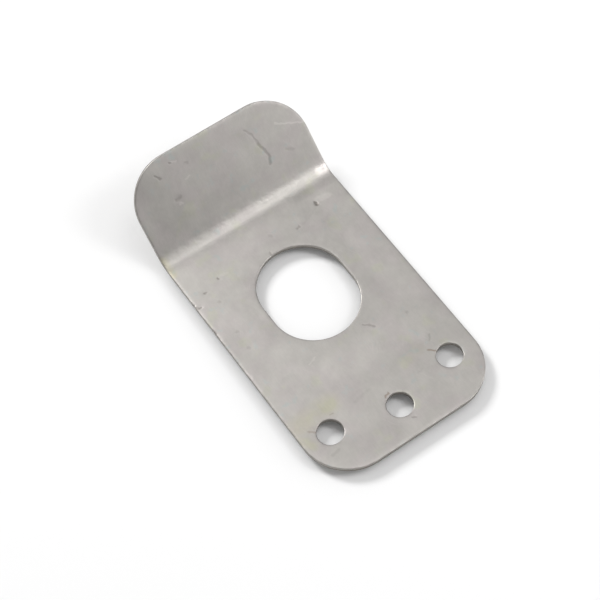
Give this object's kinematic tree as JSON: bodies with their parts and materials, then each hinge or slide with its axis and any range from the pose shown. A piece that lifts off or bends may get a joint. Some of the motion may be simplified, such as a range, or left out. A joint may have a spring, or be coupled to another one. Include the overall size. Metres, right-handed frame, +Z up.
{
  "type": "stamped metal bracket",
  "caption": "Flat steel plate with rounded corners, an obround opening and screw holes at one end, and a short tab folded up at the other.",
  "frame": {"origin": "midway between the two outer screw holes, on the underside of the plate, which is the face it lies on", "axes": "+X across the width of the plate, +Y along it from the free end towards the fold and the tab, +Z up out of the plate's top face, the side that the tab rises on"},
  "size_m": [0.05, 0.0927, 0.0184],
  "materials": {
    "steel_sheet": "matt mill-rolled steel sheet, lightly scratched and stained, with a little rust at the screw holes"
  },
  "bodies": {
    "root": {"bracket": "steel_sheet"}
  },
  "joints": []
}
